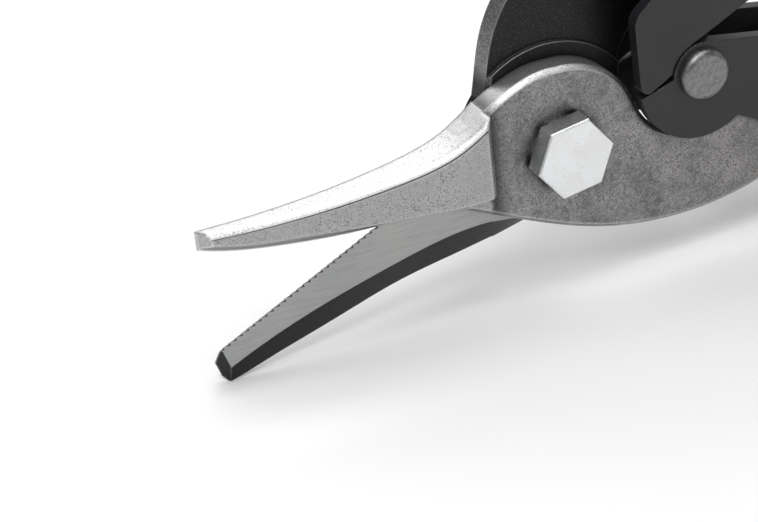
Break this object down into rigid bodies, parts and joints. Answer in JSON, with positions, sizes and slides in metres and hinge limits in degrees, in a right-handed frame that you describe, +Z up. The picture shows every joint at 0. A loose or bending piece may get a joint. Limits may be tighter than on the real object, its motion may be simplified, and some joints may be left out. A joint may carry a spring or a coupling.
{
  "type": "aviation snips",
  "caption": "Compound-action hand snips for sheet metal: two forged pivoting jaws, folded handles with soft grips, return spring and thumb latch, shown open.",
  "frame": {"origin": "bottom centre of the open tool standing on its lower jaw tip and lower grip", "axes": "+X from the jaws to the handles (longest), +Y across the blade plane away from the bolt head (shortest), +Z up"},
  "size_m": [0.2559, 0.027, 0.1518],
  "materials": {
    "forged_steel": "tumbled forging with ground edges",
    "zinc_steel": "bright zinc plate",
    "black_painted_steel": "satin black",
    "rivet_steel": "dark plain steel",
    "grip_vinyl": "semi-matt dipped vinyl",
    "shim_brass": "plain",
    "spring_steel": "plain drawn wire",
    "latch_steel": "zinc plate"
  },
  "bodies": {
    "lower_handle": {"lower_handle": "black_painted_steel", "lower_grip": "grip_vinyl", "front_tang_rivet": "rivet_steel", "front_tang_shims": "shim_brass", "handle_rivet": "rivet_steel", "handle_spacer": "rivet_steel", "lower_spring_seat": "spring_steel", "return_spring": "spring_steel", "latch_washer": "shim_brass"},
    "front_blade": {"front_blade": "forged_steel", "pivot_bolt": "zinc_steel", "front_washer": "zinc_steel", "rear_washer": "zinc_steel", "lock_nut": "zinc_steel"},
    "rear_blade": {"rear_blade": "forged_steel"},
    "upper_handle": {"upper_handle": "black_painted_steel", "upper_grip": "grip_vinyl", "rear_tang_rivet": "rivet_steel", "rear_tang_shims": "shim_brass", "upper_spring_seat": "spring_steel"},
    "latch": {"latch": "latch_steel"}
  },
  "joints": [
    {"name": "handle_hinge", "type": "hinge", "parent": "lower_handle", "child": "upper_handle", "pos_m": [-0.03682, 0, 0.03562], "axis": [0, 1, 0], "range_deg": [0, 34.5], "stiffness_Nm_per_rad": 1.2, "springref_deg": -34.38, "deforming": ["return_spring"]},
    {"name": "front_blade_hinge", "type": "hinge", "parent": "lower_handle", "child": "front_blade", "pos_m": [-0.00409, 0, 0.02722], "axis": [0, 1, 0], "range_deg": [0, 8]},
    {"name": "rear_blade_hinge", "type": "hinge", "parent": "front_blade", "child": "rear_blade", "pos_m": [-0.06276, 0, 0.0278], "axis": [0, 1, 0], "range_deg": [0, 18.66]},
    {"name": "latch_hinge", "type": "hinge", "parent": "lower_handle", "child": "latch", "pos_m": [-0.00409, 0, 0.02722], "axis": [0, -1, 0], "range_deg": [0, 47.7]}
  ],
  "couplings": [
    {"joint": "front_blade_hinge", "follows": "handle_hinge", "ratio": 0.2305},
    {"joint": "rear_blade_hinge", "follows": "handle_hinge", "ratio": 0.5395}
  ]
}
